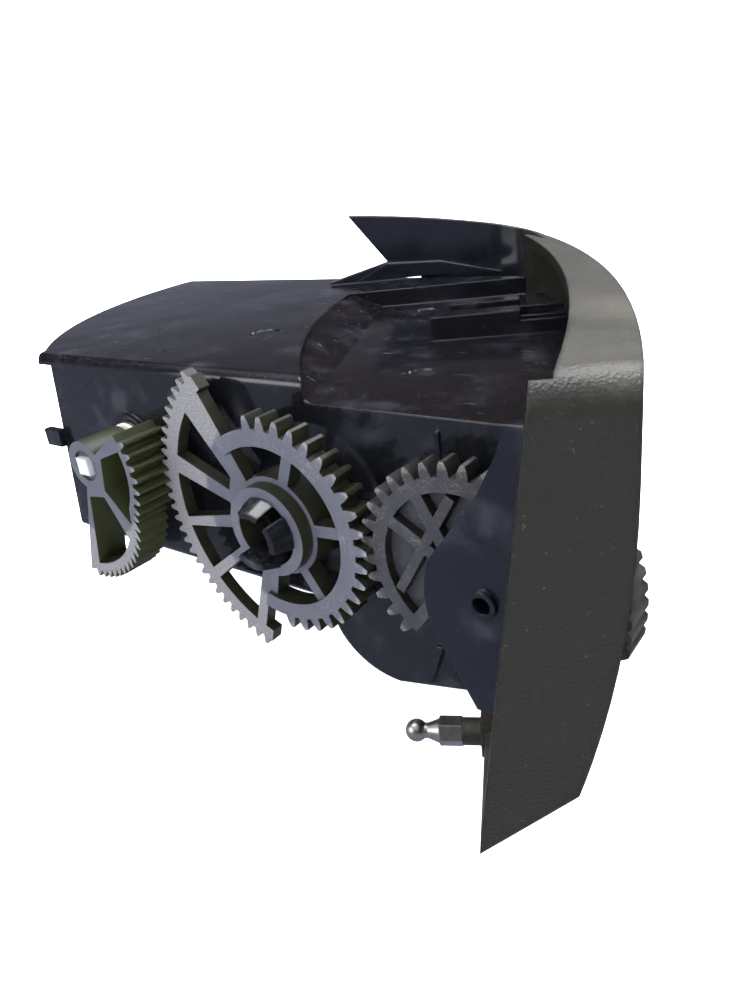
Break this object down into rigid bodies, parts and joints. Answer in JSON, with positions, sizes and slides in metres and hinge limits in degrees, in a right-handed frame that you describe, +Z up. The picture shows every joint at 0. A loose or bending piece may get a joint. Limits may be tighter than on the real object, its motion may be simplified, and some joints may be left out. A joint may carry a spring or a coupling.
{
  "type": "dashboard air outlet with geared shut-off flap",
  "caption": "Side air outlet: moulded duct with a wrap-round bezel, tilting vanes and a thumbwheel that turns a shut-off flap through an open gear train.",
  "frame": {"origin": "centre of the duct's slanted inlet mouth", "axes": "+X along the duct towards the outlet, +Y along the gear shafts away from the gear side, +Z up"},
  "size_m": [0.1833, 0.1208, 0.0776],
  "materials": {
    "housing": "moulded black gloss, scuffed",
    "bezel": "fine grained black",
    "bracket": "moulded black gloss",
    "stud": "zinc plated",
    "vane_frame": "fine grained black",
    "pin": "plain steel",
    "bush": "natural acetal",
    "wheel": "dusty black plastic",
    "grip": "soft-touch",
    "transfer_gear": "dusty black plastic",
    "flap_gear": "dusty black plastic",
    "flap_shaft": "plain moulded",
    "flap_blade": "plain moulded",
    "foam": "open-cell foam",
    "front_vane": "fine grained black",
    "rear_vane": "plain moulded",
    "link": "plain moulded",
    "knob": "satin",
    "fork": "plain moulded"
  },
  "bodies": {
    "outlet_body": {"duct_housing": "housing", "bezel": "bezel", "side_bracket": "bracket", "ball_stud_near": "stud", "ball_stud_far": "stud", "vane_frame": "vane_frame", "thumbwheel_pin": "pin", "shaft_bush_near": "bush", "shaft_bush_far": "bush"},
    "thumbwheel_body": {"thumbwheel": "wheel", "thumbwheel_grip": "grip"},
    "transfer_gear_body": {"transfer_gear": "transfer_gear"},
    "flap_body": {"flap_gear": "flap_gear", "flap_shaft": "flap_shaft", "flap_blade": "flap_blade", "flap_foam": "foam"},
    "front_vane_1_body": {"front_vane_1": "front_vane"},
    "front_vane_2_body": {"front_vane_2": "front_vane"},
    "front_vane_3_body": {"front_vane_3": "front_vane"},
    "front_link_body": {"front_vane_link": "link"},
    "knob_body": {"slider_knob": "knob", "knob_fork": "fork"},
    "rear_vane_1_body": {"rear_vane_1": "rear_vane"},
    "rear_vane_2_body": {"rear_vane_2": "rear_vane"},
    "rear_vane_3_body": {"rear_vane_3": "rear_vane"},
    "rear_vane_4_body": {"rear_vane_4": "rear_vane"},
    "rear_vane_5_body": {"rear_vane_5": "rear_vane"},
    "rear_vane_6_body": {"rear_vane_6": "rear_vane"},
    "rear_link_body": {"rear_vane_link": "link"}
  },
  "joints": [
    {"name": "flap_turn", "type": "hinge", "parent": "outlet_body", "child": "flap_body", "pos_m": [0.04845, -0.05, 0.00388], "axis": [0, -1, 0], "range_deg": [-35, 35]},
    {"name": "transfer_turn", "type": "hinge", "parent": "outlet_body", "child": "transfer_gear_body", "pos_m": [0.093, -0.05, -0.0025], "axis": [0, -1, 0], "range_deg": [-17.6, 17.6]},
    {"name": "thumbwheel_turn", "type": "hinge", "parent": "outlet_body", "child": "thumbwheel_body", "pos_m": [0.12748, -0.05, -0.00352], "axis": [0, -1, 0], "range_deg": [-20.3, 20.3]},
    {"name": "front_vane_2_tilt", "type": "hinge", "parent": "outlet_body", "child": "front_vane_2_body", "pos_m": [0.11153, -0.00636, -0.001], "axis": [-0.454, 0.891, 0], "range_deg": [-25, 25]},
    {"name": "front_vane_1_tilt", "type": "hinge", "parent": "outlet_body", "child": "front_vane_1_body", "pos_m": [0.11153, -0.00636, -0.009], "axis": [-0.454, 0.891, 0], "range_deg": [-25, 25]},
    {"name": "front_vane_3_tilt", "type": "hinge", "parent": "outlet_body", "child": "front_vane_3_body", "pos_m": [0.11153, -0.00636, 0.007], "axis": [-0.454, 0.891, 0], "range_deg": [-25, 25]},
    {"name": "front_link_turn", "type": "hinge", "parent": "front_vane_2_body", "child": "front_link_body", "pos_m": [0.08671, 0.03487, -0.001], "axis": [-0.454, 0.891, 0], "range_deg": [-25, 25]},
    {"name": "knob_slide", "type": "slide", "parent": "front_vane_2_body", "child": "knob_body", "axis": [-0.454, 0.891, 0], "range_m": [-0.0045, 0.0045]},
    {"name": "rear_vane_1_swing", "type": "hinge", "parent": "outlet_body", "child": "rear_vane_1_body", "pos_m": [0.10411, -0.03146, 0], "axis": [0, 0, 1], "range_deg": [-30, 30]},
    {"name": "rear_vane_2_swing", "type": "hinge", "parent": "outlet_body", "child": "rear_vane_2_body", "pos_m": [0.09912, -0.02166, 0], "axis": [0, 0, 1], "range_deg": [-30, 30]},
    {"name": "rear_vane_3_swing", "type": "hinge", "parent": "outlet_body", "child": "rear_vane_3_body", "pos_m": [0.09413, -0.01185, 0], "axis": [0, 0, 1], "range_deg": [-30, 30]},
    {"name": "rear_vane_4_swing", "type": "hinge", "parent": "outlet_body", "child": "rear_vane_4_body", "pos_m": [0.08913, -0.00205, 0], "axis": [0, 0, 1], "range_deg": [-30, 30]},
    {"name": "rear_vane_5_swing", "type": "hinge", "parent": "outlet_body", "child": "rear_vane_5_body", "pos_m": [0.08414, 0.00775, 0], "axis": [0, 0, 1], "range_deg": [-30, 30]},
    {"name": "rear_vane_6_swing", "type": "hinge", "parent": "outlet_body", "child": "rear_vane_6_body", "pos_m": [0.07914, 0.01755, 0], "axis": [0, 0, 1], "range_deg": [-30, 30]},
    {"name": "rear_link_turn", "type": "hinge", "parent": "rear_vane_3_body", "child": "rear_link_body", "pos_m": [0.09012, -0.0139, 0], "axis": [0, 0, 1], "range_deg": [-30, 30]}
  ],
  "couplings": [
    {"joint": "transfer_turn", "follows": "flap_turn", "ratio": -0.5},
    {"joint": "thumbwheel_turn", "follows": "flap_turn", "ratio": 0.57812},
    {"joint": "front_vane_1_tilt", "follows": "front_vane_2_tilt", "ratio": 1},
    {"joint": "front_vane_3_tilt", "follows": "front_vane_2_tilt", "ratio": 1},
    {"joint": "front_link_turn", "follows": "front_vane_2_tilt", "ratio": -1},
    {"joint": "rear_vane_1_swing", "follows": "knob_slide", "rad_per_m": 114.94},
    {"joint": "rear_vane_2_swing", "follows": "knob_slide", "rad_per_m": 114.94},
    {"joint": "rear_vane_3_swing", "follows": "knob_slide", "rad_per_m": 114.94},
    {"joint": "rear_vane_4_swing", "follows": "knob_slide", "rad_per_m": 114.94},
    {"joint": "rear_vane_5_swing", "follows": "knob_slide", "rad_per_m": 114.94},
    {"joint": "rear_vane_6_swing", "follows": "knob_slide", "rad_per_m": 114.94},
    {"joint": "rear_link_turn", "follows": "knob_slide", "rad_per_m": -114.94}
  ]
}
